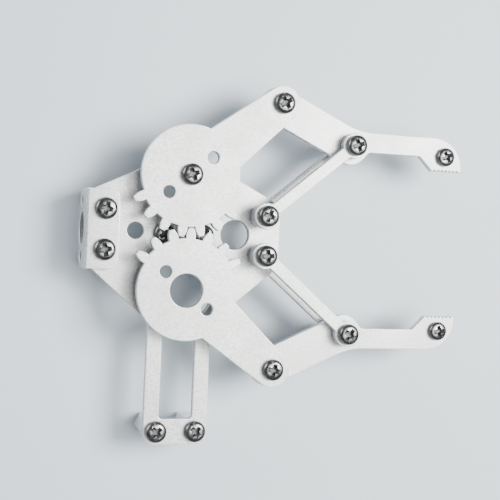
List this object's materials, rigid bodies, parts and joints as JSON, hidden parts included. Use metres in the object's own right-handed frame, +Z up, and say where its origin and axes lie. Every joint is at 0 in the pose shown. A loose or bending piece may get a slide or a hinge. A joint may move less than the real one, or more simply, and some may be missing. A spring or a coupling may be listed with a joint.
{
  "type": "robot gripper",
  "caption": "Two-jaw servo-driven robot gripper of flat aluminium plates, with meshing gear-sector arms, parallel finger links and an angle bracket for the wrist.",
  "frame": {"origin": "centre of the wrist bore, on the outer face of the wrist flange", "axes": "+X from the wrist to the fingertips, +Y to the left, idler side, +Z up, square to the plates"},
  "size_m": [0.0998, 0.0915, 0.0212],
  "materials": {
    "plate": "satin, fine tumbled speckle",
    "dark_screw": "dark nickel plate, glossy",
    "steel_nut": "zinc plate",
    "spacer": "turned, semi-gloss",
    "nylon": "natural nylon"
  },
  "bodies": {
    "base": {"deck_plate": "plate", "wrist_bracket": "plate", "bracket_screws": "dark_screw", "servo_standoffs": "spacer", "servo_screws": "dark_screw", "idler_screw": "dark_screw", "idler_bush": "spacer", "idler_nut": "steel_nut", "link_pivot_screws": "dark_screw", "link_pivot_spacers": "spacer", "link_pivot_nuts": "steel_nut", "deck_nut_inserts": "nylon"},
    "drive_arm": {"drive_gear_arm": "plate", "drive_elbow_screw": "dark_screw", "drive_elbow_washer": "spacer", "drive_elbow_nut": "steel_nut", "drive_elbow_insert": "nylon"},
    "idler_arm": {"idler_gear_arm": "plate", "idler_elbow_screw": "dark_screw", "idler_elbow_washer": "spacer", "idler_elbow_nut": "steel_nut", "idler_elbow_insert": "nylon"},
    "right_jaw": {"right_finger": "plate", "right_knuckle_screw": "dark_screw", "right_knuckle_washer": "spacer", "right_knuckle_spacer": "spacer", "right_knuckle_nut": "steel_nut", "right_knuckle_insert": "nylon", "right_tip_screw": "dark_screw", "right_tip_nut": "steel_nut"},
    "left_jaw": {"left_finger": "plate", "left_knuckle_screw": "dark_screw", "left_knuckle_washer": "spacer", "left_knuckle_spacer": "spacer", "left_knuckle_nut": "steel_nut", "left_knuckle_insert": "nylon", "left_tip_screw": "dark_screw", "left_tip_nut": "steel_nut"},
    "right_links": {"right_link_top": "plate", "right_link_bottom": "plate"},
    "left_links": {"left_link_top": "plate", "left_link_bottom": "plate"}
  },
  "joints": [
    {"name": "drive_arm_turn", "type": "hinge", "parent": "base", "child": "drive_arm", "pos_m": [0.0246, -0.01425, 0.007], "axis": [0, 0, 1], "range_deg": [-27, 40]},
    {"name": "idler_arm_turn", "type": "hinge", "parent": "base", "child": "idler_arm", "pos_m": [0.0246, 0.01425, 0.007], "axis": [0, 0, 1], "range_deg": [-40, 27]},
    {"name": "right_elbow_turn", "type": "hinge", "parent": "drive_arm", "child": "right_jaw", "pos_m": [0.04758, -0.03353, 0.007], "axis": [0, 0, 1], "range_deg": [-40, 27]},
    {"name": "left_elbow_turn", "type": "hinge", "parent": "idler_arm", "child": "left_jaw", "pos_m": [0.04758, 0.03353, 0.007], "axis": [0, 0, 1], "range_deg": [-27, 40]},
    {"name": "right_links_turn", "type": "hinge", "parent": "base", "child": "right_links", "pos_m": [0.0446, -0.005, 0.007], "axis": [0, 0, 1], "range_deg": [-27, 40]},
    {"name": "left_links_turn", "type": "hinge", "parent": "base", "child": "left_links", "pos_m": [0.0446, 0.005, 0.007], "axis": [0, 0, 1], "range_deg": [-40, 27]}
  ],
  "couplings": [
    {"joint": "idler_arm_turn", "follows": "drive_arm_turn", "ratio": -1},
    {"joint": "right_elbow_turn", "follows": "drive_arm_turn", "ratio": -1},
    {"joint": "left_elbow_turn", "follows": "drive_arm_turn", "ratio": 1},
    {"joint": "right_links_turn", "follows": "drive_arm_turn", "ratio": 1},
    {"joint": "left_links_turn", "follows": "drive_arm_turn", "ratio": -1}
  ]
}
